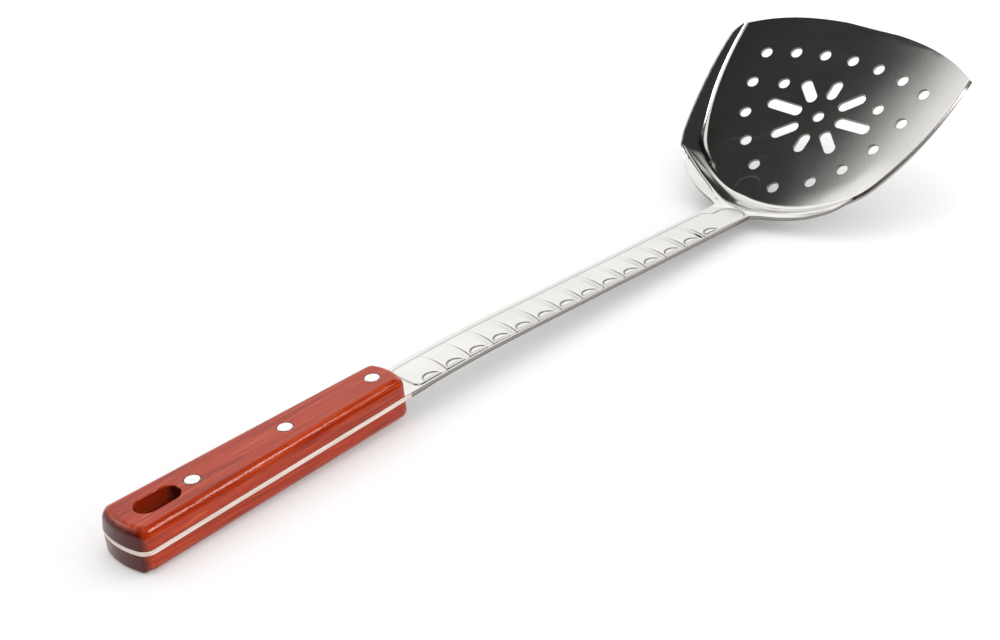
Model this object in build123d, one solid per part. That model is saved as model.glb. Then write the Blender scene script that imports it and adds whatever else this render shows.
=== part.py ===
from build123d import *
import os
from math import asin, atan2, cos, degrees, hypot, pi, radians, sin, tan

# A wok turner: one pressed steel sheet runs from the tang through the shank to a pierced, dished scoop,
# and two wooden scales are riveted to the tang. Lengths are in millimetres, angles in degrees.
# Pieces are drawn in the tang's frame: X from the butt to the blade, Y to the left, Z up from the tang's middle.

# The sheet, thinner where it is drawn out into the scoop
SHEET = 1.9
SCOOP_SHEET = 1.3
PANEL_RISE = 0.35

# The handle's plan, shared by the tang and both scales
HANDLE_LENGTH = 115.0
BUTT_WIDTH = 25.0
FRONT_WIDTH = 18.4
BUTT_BOW = 2.6
FRONT_BOW = 2.4
BUTT_CORNER = 4.5
FRONT_CORNER = 3.6
SCALE_THICKNESS = 6.9
SCALE_EDGE = 3.2

# The hanging slot
SLOT_LENGTH = 16.5
SLOT_WIDTH = 9.0
SLOT_FROM_BUTT = 8.7
SLOT_EDGE = 0.5

# The rivets: a socket from above and a pin from below
RIVET_NAMES = ("butt", "middle", "front")
RIVET_HEAD = 5.6
RIVET_HEAD_THICKNESS = 1.2
RIVET_BARREL = 4.2
RIVET_PIN = 2.8
RIVET_FROM_SLOT = 5.5
RIVET_FROM_FRONT = 8.5
RIVET_CLEARANCE = 0.05
PIN_END_GAP = 0.8

# The shank
SHANK_LENGTH = 181.4
NECK_WIDTH = 17.6
SHANK_FALL = 3.3
BEND_FROM_HANDLE = 33.0
BEND_RADIUS = 690.0
NECK_FLARE = 5.0
NECK_LAND = 1.5

# The raised panel on the shank, with its grooves and half-moon dimples
PANEL_FROM_HANDLE = 4.0
PANEL_LEFT = 6.9
PANEL_RIGHT = 8.3
PANEL_CORNER = 2.5
NOSE_RADIUS = 6.0
NOSE_REACH = 3.2
LOBE_SETBACK = 13.3
GROOVES = 13
GROOVE_FROM_PANEL = 13.4
GROOVE_PITCH = 11.16
GROOVE_BOW = 1.6
GROOVE_WIDTH = 0.9
GROOVE_FADE_SHARE = 0.35
DIMPLE_LENGTH = 7.0
DIMPLE_DEPTH = 3.4
DIMPLE_BEFORE_GROOVE = 6.2
DIMPLE_MARGIN = 0.7

# The scoop, in its own frame: its origin is the middle of the pierced floor, X forward along the floor
BLADE_PITCH = 33.6
WALL_FLARE = 32.0
HEEL_DEPTH = 11.6
CENTRE_FROM_HEEL = 44.8
BLADE_REACH = 44.6
FLOOR_WIDTH = 110.6
FLOOR_WIDEST = 31.7
SIDE_RADIUS = 139.0
HEEL_RADIUS = 56.0
HEEL_CORNER_RADIUS = 24.0
DISH_RADIUS = 450.0
CREASE_RADIUS = 2.4
RIM_HEIGHT_HEEL = 11.1
RIM_HEIGHT_FRONT = 6.9
RIM_FRONT = 25.0
RIM_EASE = 9.0
CORNER_REACH = 31.0
SHOULDER_REACH = 41.8

# The piercing, as shares of half the floor's width: places forward and to the side
HOLE = 4.8
AXIS_HOLE_SHARES = (0.505, 0.0, -0.64)
PAIRED_HOLE_SHARES = (
    (0.376, 0.707), (0.447, 0.479), (0.490, 0.241), (0.179, 0.425), (0.114, 0.673),
    (-0.136, 0.580), (-0.349, 0.438), (-0.512, 0.255))
STAR_INNER = 8.6
STAR_OUTER_AXIAL = 17.5
STAR_OUTER_DIAGONAL = 20.4
STAR_OUTER_SIDE = 25.2
STAR_DIAGONAL_ANGLE = 47.7

OVERRUN = 20.0

# Values that follow from the sizes above
half_sheet = SHEET / 2
half_handle = half_sheet + SCALE_THICKNESS
fall = radians(SHANK_FALL)
pitch = radians(BLADE_PITCH)
flare = radians(WALL_FLARE)
bend_at = HANDLE_LENGTH + BEND_FROM_HANDLE
neck_at = HANDLE_LENGTH + SHANK_LENGTH
slot_middle = SLOT_FROM_BUTT + SLOT_LENGTH / 2
first_rivet = SLOT_FROM_BUTT + SLOT_LENGTH + RIVET_FROM_SLOT
last_rivet = HANDLE_LENGTH - RIVET_FROM_FRONT
rivet_pitch = (last_rivet - first_rivet) / (len(RIVET_NAMES) - 1)
rivet_places = [first_rivet + i * rivet_pitch for i in range(len(RIVET_NAMES))]


def shank_height(x, over=0.0):
    """The height of the sloping shank's middle at x, or of a line a given distance over it."""
    return over / cos(fall) - (x - bend_at) * tan(fall)


# The heel's wall leaves the shank's top at the neck and reaches the floor HEEL_DEPTH further down
neck_height = shank_height(neck_at, half_sheet)
heel_run = HEEL_DEPTH * tan(flare)
centre_run = CENTRE_FROM_HEEL + heel_run
centre_x = neck_at + centre_run * cos(pitch) + HEEL_DEPTH * sin(pitch)
centre_z = neck_height + centre_run * sin(pitch) - HEEL_DEPTH * cos(pitch)
blade_plane = Plane(origin=(centre_x, 0, centre_z), x_dir=(cos(pitch), 0, sin(pitch)),
                    z_dir=(-sin(pitch), 0, cos(pitch)))
crease_level = (FLOOR_WIDTH / 2) ** 2 / (2 * DISH_RADIUS)


def in_blade(x, z):
    """A point of the tang's side view, as forward and height in the scoop's frame."""
    forward, up = x - centre_x, z - centre_z
    return forward * cos(pitch) + up * sin(pitch), up * cos(pitch) - forward * sin(pitch)


def side_slab(outline, half_width, plane=Plane.XZ):
    """A closed outline in the side view, drawn out equally to the left and right."""
    return extrude(plane * make_face(outline), amount=half_width, both=True)


def ribbon(low, high):
    """The layer of tang and shank between two distances from their middle, wider than the sheet."""
    end = neck_at + OVERRUN

    def line(over):
        corner = (bend_at + over * tan(fall / 2), over)
        tip = (end, shank_height(end, over))
        return FilletPolyline((-OVERRUN, over), corner, tip, radius=BEND_RADIUS + over)

    bottom, top = line(low), line(high)
    return side_slab([bottom, Line(bottom @ 1, top @ 1), top, Line(top @ 0, bottom @ 0)], FLOOR_WIDTH / 2)


def handle_plan():
    """The outline of a scale: sides that taper forward between a bowed butt and a bowed front."""
    half_butt, half_front = BUTT_WIDTH / 2, FRONT_WIDTH / 2
    shoulder = HANDLE_LENGTH - FRONT_BOW
    butt = ThreePointArc((BUTT_BOW, half_butt), (0, 0), (BUTT_BOW, -half_butt))
    front = ThreePointArc((shoulder, -half_front), (HANDLE_LENGTH, 0), (shoulder, half_front))
    plan = make_face([butt, Line(butt @ 1, front @ 0), front, Line(front @ 1, butt @ 0)])
    plan = fillet(plan.vertices().sort_by(Axis.X)[:2], BUTT_CORNER)
    return fillet(plan.vertices().sort_by(Axis.X)[-2:], FRONT_CORNER)


def sheet_plan():
    """The outline of tang, shank and neck: the tang matches the scales, the neck widens into the scoop."""
    half_butt, half_front, half_neck = BUTT_WIDTH / 2, FRONT_WIDTH / 2, NECK_WIDTH / 2
    shoulder = HANDLE_LENGTH - FRONT_BOW
    flare_start = neck_at - NECK_LAND - NECK_FLARE
    turn = NECK_FLARE * (1 - cos(pi / 4))
    end = neck_at + OVERRUN / 2
    butt = ThreePointArc((BUTT_BOW, half_butt), (0, 0), (BUTT_BOW, -half_butt))
    edges = [butt]
    for side in (-1, 1):
        flank = Polyline((BUTT_BOW, side * half_butt), (shoulder, side * half_front),
                         (flare_start, side * half_neck))
        widening = ThreePointArc(flank @ 1, (flare_start + NECK_FLARE - turn, side * (half_neck + turn)),
                                 (flare_start + NECK_FLARE, side * (half_neck + NECK_FLARE)))
        edges += [flank, widening, Line(widening @ 1, (end, side * (half_neck + NECK_FLARE)))]
    edges.append(Line((end, -half_neck - NECK_FLARE), (end, half_neck + NECK_FLARE)))
    plan = make_face(edges)
    return fillet(plan.vertices().sort_by(Axis.X)[:2], BUTT_CORNER)


def groove_plan(x):
    """One groove across the panel: a bowed line that narrows and fades towards the left."""
    right, left = -PANEL_RIGHT - GROOVE_WIDTH, PANEL_LEFT - GROOVE_WIDTH
    thin = GROOVE_WIDTH * GROOVE_FADE_SHARE
    middle = (right + left) / 2
    ahead = ThreePointArc((x + GROOVE_WIDTH / 2, right), (x + GROOVE_BOW + thin, middle),
                          (x + GROOVE_BOW / 2 + thin, left))
    behind = ThreePointArc((x - GROOVE_WIDTH / 2, right), (x + GROOVE_BOW - thin, middle),
                           (x + GROOVE_BOW / 2 - thin, left))
    return make_face([ahead, Line(ahead @ 1, behind @ 1), behind, Line(behind @ 0, ahead @ 0)])


def dimple_plan(x):
    """One half-moon, its straight side along the panel's right edge."""
    low, half = DIMPLE_MARGIN - PANEL_RIGHT, DIMPLE_LENGTH / 2
    bow = ThreePointArc((x - half, low), (x, low + DIMPLE_DEPTH), (x + half, low))
    return make_face([bow, Line(bow @ 1, bow @ 0)])


def panel_plan():
    """The raised panel seen from above, with its scalloped nose at the neck and its pattern cut out."""
    start = HANDLE_LENGTH + PANEL_FROM_HANDLE
    nose_x = neck_at - NOSE_REACH - NOSE_RADIUS
    nose_y = NOSE_RADIUS - PANEL_RIGHT
    lobe_end = nose_x + NOSE_RADIUS - LOBE_SETBACK
    lobe_width = PANEL_LEFT - nose_y
    body = Pos((start + lobe_end) / 2, (PANEL_LEFT - PANEL_RIGHT) / 2) * Rectangle(
        lobe_end - start, PANEL_LEFT + PANEL_RIGHT)
    body = fillet(body.vertices(), PANEL_CORNER)
    stem = Pos((nose_x + start) / 2, nose_y) * Rectangle(nose_x - start, 2 * NOSE_RADIUS)
    stem = fillet(stem.vertices().sort_by(Axis.X)[:2], PANEL_CORNER)
    lobe = Pos(lobe_end, PANEL_LEFT - lobe_width / 2) * Circle(lobe_width / 2)
    plan = body + stem + Pos(nose_x, nose_y) * Circle(NOSE_RADIUS) + lobe
    first_groove = start + GROOVE_FROM_PANEL
    for i in range(GROOVES):
        plan -= groove_plan(first_groove + i * GROOVE_PITCH)
    for i in range(GROOVES + 1):
        plan -= dimple_plan(first_groove + i * GROOVE_PITCH - DIMPLE_BEFORE_GROOVE)
    return plan


def floor_plan(grow):
    """The scoop's outline where floor and walls meet, grown outward: two side arcs, a heel arc and its corners."""
    side_centre = SIDE_RADIUS - FLOOR_WIDTH / 2
    heel_centre = HEEL_RADIUS - CENTRE_FROM_HEEL - crease_level * tan(flare)
    length = BLADE_REACH + OVERRUN - heel_centre
    sides = [Pos(FLOOR_WIDEST, side * side_centre) * Circle(SIDE_RADIUS + grow) for side in (-1, 1)]
    heel = Pos(heel_centre, 0) * Circle(HEEL_RADIUS + grow)
    heel += Pos(heel_centre + length / 2, 0) * Rectangle(length, 2 * (HEEL_RADIUS + grow))
    plan = sides[0] & sides[1] & heel
    return fillet(plan.vertices().sort_by(Axis.X)[:2], HEEL_CORNER_RADIUS + grow)


def scoop_plug(outward):
    """All that lies inside and over the scoop's surface, or over the surface that far outside it."""
    base = crease_level + outward
    grow = outward / cos(flare) - (crease_level + base) * tan(flare)
    plug = extrude(Pos(0, 0, -base) * floor_plan(grow), amount=base + HEEL_DEPTH + OVERRUN, taper=-WALL_FLARE)
    dish = Pos(0, 0, DISH_RADIUS) * Rot(0, -90, 0) * Cylinder(DISH_RADIUS + outward, 4 * FLOOR_WIDTH)
    plug = plug & dish
    floor = plug.faces().sort_by(Axis.Z)[0]
    creases = floor.edges().sort_by(Axis.X)[:-1]
    return fillet(creases, CREASE_RADIUS + outward)


def over_rim():
    """What is cut away over the scoop: above the shank at the neck, above the sloping rim, then above the crease."""
    high = HEEL_DEPTH + 2 * OVERRUN
    back_x = neck_at - OVERRUN
    back = in_blade(back_x, shank_height(back_x, half_sheet))
    neck = in_blade(neck_at, neck_height)
    shank_slope = (neck[1] - back[1]) / (neck[0] - back[0])
    rim_slope = (RIM_HEIGHT_FRONT - RIM_HEIGHT_HEEL) / (RIM_FRONT + CENTRE_FROM_HEEL)
    rim_at_neck = RIM_HEIGHT_HEEL + rim_slope * (neck[0] + CENTRE_FROM_HEEL)
    run = (rim_at_neck - neck[1]) / (shank_slope - rim_slope)
    meet = (neck[0] + run, neck[1] + shank_slope * run)
    tip_x = BLADE_REACH + OVERRUN
    edge = FilletPolyline(back, meet, (RIM_FRONT, RIM_HEIGHT_FRONT), radius=RIM_EASE)
    rest = Polyline((RIM_FRONT, RIM_HEIGHT_FRONT), (CORNER_REACH, crease_level), (tip_x, crease_level),
                    (tip_x, high), (back[0], high), back)
    return side_slab([edge, rest], FLOOR_WIDTH)


def front_block():
    """Everything behind the blade's arched front edge."""
    back, half = -CENTRE_FROM_HEEL - 2 * OVERRUN, FLOOR_WIDTH / 2
    points = [(CORNER_REACH, -half), (SHOULDER_REACH, -half / 2), (BLADE_REACH, 0),
              (SHOULDER_REACH, half / 2), (CORNER_REACH, half)]
    arch = Spline(*points)
    wide = half + OVERRUN
    rest = Polyline(points[-1], (CORNER_REACH, wide), (back, wide), (back, -wide), (CORNER_REACH, -wide), points[0])
    plan = make_face([arch, rest])
    return extrude(Pos(0, 0, -OVERRUN) * plan, amount=HEEL_DEPTH + 3 * OVERRUN)


def piercing():
    """The round holes and the star of slots, as one cutter through the floor."""
    half = FLOOR_WIDTH / 2
    places = [(share * half, 0) for share in AXIS_HOLE_SHARES]
    places += [(x * half, side * y * half) for x, y in PAIRED_HOLE_SHARES for side in (-1, 1)]
    plan = Sketch() + [Pos(x, y) * Circle(HOLE / 2) for x, y in places]
    for half_turn in (0, 180):
        for angle, reach in ((0, STAR_OUTER_AXIAL), (90, STAR_OUTER_SIDE),
                             (STAR_DIAGONAL_ANGLE, STAR_OUTER_DIAGONAL), (-STAR_DIAGONAL_ANGLE, STAR_OUTER_DIAGONAL)):
            slot = Pos((STAR_INNER + reach) / 2, 0) * SlotOverall(reach - STAR_INNER, HOLE)
            plan += Rot(0, 0, half_turn + angle) * slot
    return extrude(Pos(0, 0, -OVERRUN / 2) * plan, amount=OVERRUN)


def make_sheet():
    """The pressed sheet: tang, shank with its panel, neck and scoop."""
    inner, outer = scoop_plug(0), scoop_plug(SCOOP_SHEET)
    scoop = (outer - inner - over_rim()) & front_block()
    scoop -= piercing()
    high = HEEL_DEPTH + 2 * OVERRUN
    strip = ribbon(-half_sheet, half_sheet) & extrude(Pos(0, 0, -high) * sheet_plan(), amount=2 * high)
    panel = ribbon(0, half_sheet + PANEL_RISE) & extrude(Pos(0, 0, -high) * panel_plan(), amount=2 * high)
    shank = strip + panel - blade_plane.location * inner
    shank -= Pos(slot_middle, 0, 0) * extrude(SlotOverall(SLOT_LENGTH, SLOT_WIDTH), amount=SHEET, both=True)
    for x in rivet_places:
        shank -= Pos(x, 0, 0) * Cylinder(RIVET_BARREL / 2 + RIVET_CLEARANCE, 2 * SHEET)
    return shank + blade_plane.location * scoop


def make_scale():
    """One wooden scale, drawn as the upper one: flat on the tang, rounded all round its outer edge."""
    scale = extrude(Pos(0, 0, half_sheet) * handle_plan(), amount=SCALE_THICKNESS)
    scale = fillet(scale.faces().sort_by(Axis.Z)[-1].edges(), SCALE_EDGE)
    cut = Pos(slot_middle, 0, 0) * extrude(SlotOverall(SLOT_LENGTH, SLOT_WIDTH), amount=2 * half_handle)
    scale -= cut
    scale = fillet(scale.faces().sort_by(Axis.Z)[-1].inner_wires()[0].edges(), SLOT_EDGE)
    seat = half_handle - RIVET_HEAD_THICKNESS
    for x in rivet_places:
        scale -= Pos(x, 0, half_handle / 2) * Cylinder(RIVET_BARREL / 2 + RIVET_CLEARANCE, 2 * half_handle)
        scale -= Pos(x, 0, seat + half_handle / 2) * Cylinder(RIVET_HEAD / 2 + RIVET_CLEARANCE, half_handle)
    return scale


def make_socket(x):
    """A rivet's upper half: a flush head on a tube that passes the scale and the tang."""
    seat = half_handle - RIVET_HEAD_THICKNESS
    tube_end = -seat
    head = Pos(x, 0, seat + RIVET_HEAD_THICKNESS / 2) * Cylinder(RIVET_HEAD / 2, RIVET_HEAD_THICKNESS)
    tube = Pos(x, 0, (seat + tube_end) / 2) * Cylinder(RIVET_BARREL / 2, seat - tube_end)
    bore = Pos(x, 0, (seat + tube_end) / 2) * Cylinder(RIVET_PIN / 2, seat - tube_end)
    return head + tube - bore


def make_pin(x):
    """A rivet's lower half: a flush head on a pin that is pressed into the tube."""
    seat = RIVET_HEAD_THICKNESS - half_handle
    tip = -seat - PIN_END_GAP
    head = Pos(x, 0, seat - RIVET_HEAD_THICKNESS / 2) * Cylinder(RIVET_HEAD / 2, RIVET_HEAD_THICKNESS)
    return head + Pos(x, 0, (seat + tip) / 2) * Cylinder(RIVET_PIN / 2, tip - seat)


def rest_tilt():
    """How far the tang tips down towards the heel when butt and heel lie on a table, in degrees."""
    corner = CREASE_RADIUS / tan((pi / 2 + flare) / 2)
    heel_x = centre_x + (corner - CENTRE_FROM_HEEL) * cos(pitch) - CREASE_RADIUS * sin(pitch)
    heel_z = centre_z + (corner - CENTRE_FROM_HEEL) * sin(pitch) + CREASE_RADIUS * cos(pitch)
    run, rise = heel_x - SCALE_EDGE, heel_z - (SCALE_EDGE - half_handle)
    return degrees(asin((CREASE_RADIUS + SCOOP_SHEET - SCALE_EDGE) / hypot(run, rise)) - atan2(rise, run))


upper_scale = make_scale()
pieces = {"blade_shank_tang": make_sheet(), "upper_scale": upper_scale,
          "lower_scale": mirror(upper_scale, about=Plane.XY)}
for name, x in zip(RIVET_NAMES, rivet_places):
    pieces[name + "_rivet_socket"] = make_socket(x)
    pieces[name + "_rivet_pin"] = make_pin(x)

# The whole lies on a table, with the origin under the middle of its length
tilted = {name: Rot(0, -rest_tilt(), 0) * piece for name, piece in pieces.items()}
box = Compound(children=[piece.solid() for piece in tilted.values()]).bounding_box()
place = Pos(-(box.min.X + box.max.X) / 2, 0, -box.min.Z)
os.makedirs("parts", exist_ok=True)
for name, piece in tilted.items():
    export_step(place * piece.solid(), f"parts/{name}.step")
print("rest tilt", round(rest_tilt(), 3), "box", box.size)
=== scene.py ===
from math import atan2, cos, hypot, pi, radians, sin, tan

import bpy
import numpy as np
from mathutils import Matrix, Vector, kdtree
from mathutils.geometry import delaunay_2d_cdt


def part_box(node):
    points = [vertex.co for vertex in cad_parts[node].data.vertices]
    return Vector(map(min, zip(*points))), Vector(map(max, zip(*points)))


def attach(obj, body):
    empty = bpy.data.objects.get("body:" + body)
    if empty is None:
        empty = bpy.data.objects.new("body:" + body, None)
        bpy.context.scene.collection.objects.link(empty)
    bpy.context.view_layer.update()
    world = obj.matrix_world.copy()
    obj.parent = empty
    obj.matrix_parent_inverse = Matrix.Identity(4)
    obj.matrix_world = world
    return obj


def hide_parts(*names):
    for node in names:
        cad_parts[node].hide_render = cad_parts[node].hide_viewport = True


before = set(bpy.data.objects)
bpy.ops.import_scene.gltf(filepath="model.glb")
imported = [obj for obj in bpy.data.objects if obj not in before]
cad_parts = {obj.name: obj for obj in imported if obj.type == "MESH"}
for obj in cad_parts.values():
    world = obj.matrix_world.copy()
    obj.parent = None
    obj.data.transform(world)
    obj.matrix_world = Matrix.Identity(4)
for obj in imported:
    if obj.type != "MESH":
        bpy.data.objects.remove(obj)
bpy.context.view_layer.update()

# A wok turner: a pressed steel sheet with two wooden scales and three rivets.
# Shapes are worked out in millimetres in the tang's frame: X from the butt to the blade, Y to the left, Z up
# from the tang's middle. TO_ROW brings them to the row's frame, in metres. P and Q are places on the sheet as
# it lay flat, P from the butt and Q to the left.
MM = 0.001

# The handle
HANDLE_LENGTH = 115.0
HALF_BUTT, HALF_FRONT = 12.5, 9.2
BUTT_BOW, FRONT_BOW = 2.6, 2.4
BUTT_CORNER, FRONT_CORNER = 4.5, 3.6
HALF_SHEET = 0.95
HALF_HANDLE = 7.85
SIDE_EDGE = 3.6
END_EDGE = 3.0
LOWER_BUTT_EDGE = 1.3
BUTT_TAPER = 1.0
BUTT_CORNER_TAPER = 0.6
# What edge and taper leave of the butt's corner radius
LEAST_CORNER = 0.3
SEAM = 0.1
# How far the outline has to face an end, or a side, for that edge's own form to start and to be full
FACING_BUTT = (0.25, 0.85)
FACING_SIDE = (0.35, 0.92)
SIDE_STEPS = 10
SLOT_FROM, SLOT_TO = 8.7, 25.2
SLOT_HALF = 4.5
SLOT_EDGE = 0.5

# The rivets
RIVETS = {"butt": 30.7, "middle": 68.6, "front": 106.5}
HEAD_RADIUS = 2.8
HEAD_THICKNESS = 1.2
BARREL_RADIUS = 2.1
PIN_RADIUS = 1.4
RIVET_CLEARANCE = 0.05
PIN_GAP = 0.03
PIN_END_GAP = 0.8
SEAT_BEVEL = 0.12
# A head's rounded rim and the fine groove round it: how far in from its radius and how far below its face
HEAD_RIM = ((0.34, 0), (0.28, 0), (0.20, 0.06), (0.17, 0.40), (0, 0.46))

# The sheet, which is thinner along the shank and thinner again in the scoop
SHEET = 2 * HALF_SHEET
SHANK_SHEET = 1.5
SCOOP_SHEET = 1.3
THINS_AFTER_HANDLE = (1.0, 14.0)
THINS_ROUND_NECK = (-2.0, 9.0)
SHEET_ROUND, EDGE_CLEAR = 0.14, 0.33
# The upper share of its edge that the cut left rough
SHEARED = 0.52
NECK_AT = 296.4
HALF_NECK = 8.8
NECK_CORNER = 0.9
NECK_RUN, NECK_CLEAR = 8.0, 3.2
# Behind here the sheet's outline is the handle's
TANG_ENDS = HANDLE_LENGTH - 8
FALL = radians(3.3)
BEND_AT = 148.0
BEND_RADIUS = 690.0

# The panel and its pattern
PANEL_RISE = 0.28
PANEL_SOFT = 0.7
PANEL_FROM = 119.0
PANEL_LEFT, PANEL_RIGHT = 6.9, 8.3
PANEL_CORNER = 2.5
NOSE_AT = 287.2
NOSE_RADIUS = 6.0
LOBE_AT = 279.9
GROOVES = 13
FIRST_GROOVE = 132.4
GROOVE_PITCH = 11.16
GROOVE_LEAN, GROOVE_BOW = 5.6, 4.8
GROOVE_MARGIN = 0.9
DIMPLE_HALF = 3.5
DIMPLE_DEEP = 3.4
DIMPLE_BEFORE = 6.2
DIMPLE_MARGIN = 0.7
GROOVE_DEPTH = 0.32
DIMPLE_DEPTH = 0.34
# Across a groove: a slow way down, then a sharp and a slow way up, and what share each of these two has
GROOVE_DOWN, GROOVE_SHARP, GROOVE_SLOW = (-3.4, -0.4), (-0.36, 0.06), (0.06, 1.5)
SHARP_SHARE, SLOW_SHARE = 0.72, 0.28
# How much a groove fades, and between which shares of its way from right to left
GROOVE_FADE, FADE_ACROSS = 0.85, (0.1, 0.95)
# In from a half-moon's arch: its wall and its floor with their shares, and the way up to its foot
DIMPLE_WALL, DIMPLE_FLOOR, DIMPLE_FOOT = (0.0, 0.38), (0.38, 2.4), (-0.5, 1.8)
WALL_SHARE, FLOOR_SHARE = 0.55, 0.45
NOSE_Y = NOSE_RADIUS - PANEL_RIGHT
LOBE_RADIUS = (PANEL_LEFT - NOSE_Y) / 2

# The scoop, in its own frame: U forward along the floor, V left, W up from the middle of the pierced floor
PITCH = radians(33.6)
FLARE = radians(32.0)
HEEL_DEPTH = 11.6
CENTRE_FROM_HEEL = 44.8
BASE_LEVEL = 3.4
DISH_ACROSS = 900.0
DISH_ALONG = 3480.0
# The wall is steeper in the heel's left corner, and the floor sweeps up to the heel's wall
HEEL_STEEP = 0.9
STEEP_U, STEEP_V = (-33.0, -42.0), (6.0, 26.0)
HEEL_SWEEP = 12.0
HEEL_SOFT = 230.0
SWEEP_U = (-6.0, -30.0)
CREASE_SOFT, HEEL_CREASE_SOFT, CREASE_U = 1.7, 2.9, (-8.0, -38.0)
SIDE_RADIUS, SIDE_U, SIDE_V = 139.0, 31.7, -83.7
HEEL_RADIUS, HEEL_U = 56.0, 9.08
CORNER_RADIUS = 24.0
RIM_MIDDLE, RIM_MIDDLE_AT = 7.2, 5.0
RIM_SLOPE = 0.045
RIM_RISE = 0.0012
RIM_DROP, DROP_FROM, DROP_TO = 0.025, 22.0, 31.0
FRONT_REACH = 44.6
# How fast the front edge falls back to the sides, by the second and the fourth power
EDGE_BOW, EDGE_BOW_OUTER = 2.95e-3, 5.1e-7
HALF_WIDTH = 55.3
TIP_RADIUS, TIP_CLEAR = 1.2, 2.8
# The flange's outline from the neck's corner to where it becomes the wall's rim
FLANGE_LINE = ((-55.8, 7.1), (-54.1, 12.3), (-51.8, 19.1), (-48.8, 26.0), (-45.2, 32.2), (-40.4, 38.1),
               (-35.6, 42.0))
RIM_AFTER_FLANGE = 6.0
# The flange's level, its fall to the left and its rise outward on the right
LIP_LEVEL = 10.2
LIP_FALL, LIP_LINE, LEFT_LIP = 0.085, 40.0, (0.0, 12.0)
LIP_RISE, LIP_REACH, RIGHT_LIP = 0.15, 7.0, (-6.0, -16.0)
LIP_TO_RIM = (-42.0, -30.0)
LIP_SOFT, SHANK_SOFT = 2.0, 4.0
# Further forward the walls run up past the flange's level to the rim
WALL_FREE, WALL_FREE_U = 4.0, (-36.5, -29.0)

# Holes by share of the half width, and the star's arms by angle and reach
HOLE_RADIUS = 2.4
AXIS_HOLES = (0.505, 0.0, -0.64)
PAIRED_HOLES = ((0.376, 0.707), (0.447, 0.479), (0.490, 0.241), (0.179, 0.425), (0.114, 0.673),
                (-0.136, 0.580), (-0.349, 0.438), (-0.512, 0.255))
STAR_INNER = 8.6
STAR_ARMS = ((0, 17.5), (90, 25.2), (47.7, 20.4), (-47.7, 20.4))

# The place inside the heel where the steel is most worn
WORN_AT = (318.0, 21.0, 2.0)

# The camera in the tang's frame: place, right, the way it looks, and focal length in image widths
CAMERA_PLACE = (-258.73, -485.90, 366.57)
CAMERA_RIGHT = (0.71144, -0.69581, -0.09845)
CAMERA_FORWARD = (0.57314, 0.65557, -0.49167)
FOCAL_WIDTHS = 2.1


def smooth(a, b, x):
    t = np.clip((x - a) / (b - a), 0.0, 1.0)
    return t * t * (3 - 2 * t)


def smax(a, b, k):
    h = np.maximum(k - np.abs(a - b), 0.0) / k
    return np.maximum(a, b) + h * h * k / 4


def smin(a, b, k):
    return -smax(-a, -b, k)


def tang_to_row():
    """The tang's frame in the row's, from the tops of the butt's and the front's rivets."""
    low_a, high_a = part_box("butt_rivet_socket")
    low_b, high_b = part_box("front_rivet_socket")
    tilt = atan2(high_b.z - high_a.z, low_b.x - low_a.x)
    s = RIVETS["butt"]
    x = low_a.x / MM - (s - HEAD_RADIUS) * cos(tilt) + HALF_HANDLE * sin(tilt)
    z = high_a.z / MM - (s + HEAD_RADIUS) * sin(tilt) - HALF_HANDLE * cos(tilt)
    return Matrix.Scale(MM, 4) @ Matrix.Translation((x, 0, z)) @ Matrix.Rotation(-tilt, 4, "Y")


TO_ROW = tang_to_row()


# Where the bend and the neck lie, and the middle of the pierced floor

BEND_FROM = BEND_AT - BEND_RADIUS * tan(FALL / 2)
BEND_TO = BEND_FROM + BEND_RADIUS * FALL
BEND_END = (BEND_FROM + BEND_RADIUS * sin(FALL), -BEND_RADIUS * (1 - cos(FALL)))
NECK_P = BEND_TO + (NECK_AT - HALF_SHEET * sin(FALL) - BEND_END[0]) / cos(FALL)
NECK_U = -CENTRE_FROM_HEEL - HEEL_DEPTH * tan(FLARE)
NECK_Z = BEND_END[1] - (NECK_P - BEND_TO) * sin(FALL) + HALF_SHEET * cos(FALL)
SLOPE = PITCH + FALL
CENTRE_X = NECK_AT - NECK_U * cos(PITCH) + HEEL_DEPTH * sin(PITCH)
CENTRE_Z = NECK_Z - NECK_U * sin(PITCH) - HEEL_DEPTH * cos(PITCH)
BLADE_STARTS = NECK_P - 12.0


def u_of(p):
    return NECK_U + (p - NECK_P) * cos(SLOPE)


def p_of(u):
    return NECK_P + (u - NECK_U) / cos(SLOPE)


# The scoop's base line: side arcs, heel arc and corner arcs between them

def corner_centre():
    """The centre that lies inside both arcs by the corner's radius."""
    a, b = SIDE_RADIUS - CORNER_RADIUS, HEEL_RADIUS - CORNER_RADIUS
    du, dv = SIDE_U - HEEL_U, SIDE_V
    d = hypot(du, dv)
    along = (b * b - a * a + d * d) / (2 * d)
    across = (b * b - along * along) ** 0.5
    return HEEL_U + (du * along + dv * across) / d, (dv * along - du * across) / d


CORNER_U, CORNER_V = corner_centre()
TO_SIDE = ((CORNER_U - SIDE_U) / (SIDE_RADIUS - CORNER_RADIUS),
           (CORNER_V - SIDE_V) / (SIDE_RADIUS - CORNER_RADIUS))
TO_HEEL = ((CORNER_U - HEEL_U) / (HEEL_RADIUS - CORNER_RADIUS), CORNER_V / (HEEL_RADIUS - CORNER_RADIUS))


def outside_base(u, v):
    """How far a point lies outside the base line."""
    v = np.abs(v)
    side = np.hypot(u - SIDE_U, v - SIDE_V) - SIDE_RADIUS
    heel = np.where(u < HEEL_U, np.hypot(u - HEEL_U, v), v) - HEEL_RADIUS
    cu, cv = u - CORNER_U, v - CORNER_V
    in_cone = (cu * TO_SIDE[1] - cv * TO_SIDE[0] < 0) & (cu * TO_HEEL[1] - cv * TO_HEEL[0] > 0)
    return np.where(in_cone, np.hypot(cu, cv) - CORNER_RADIUS, np.maximum(side, heel))


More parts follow.
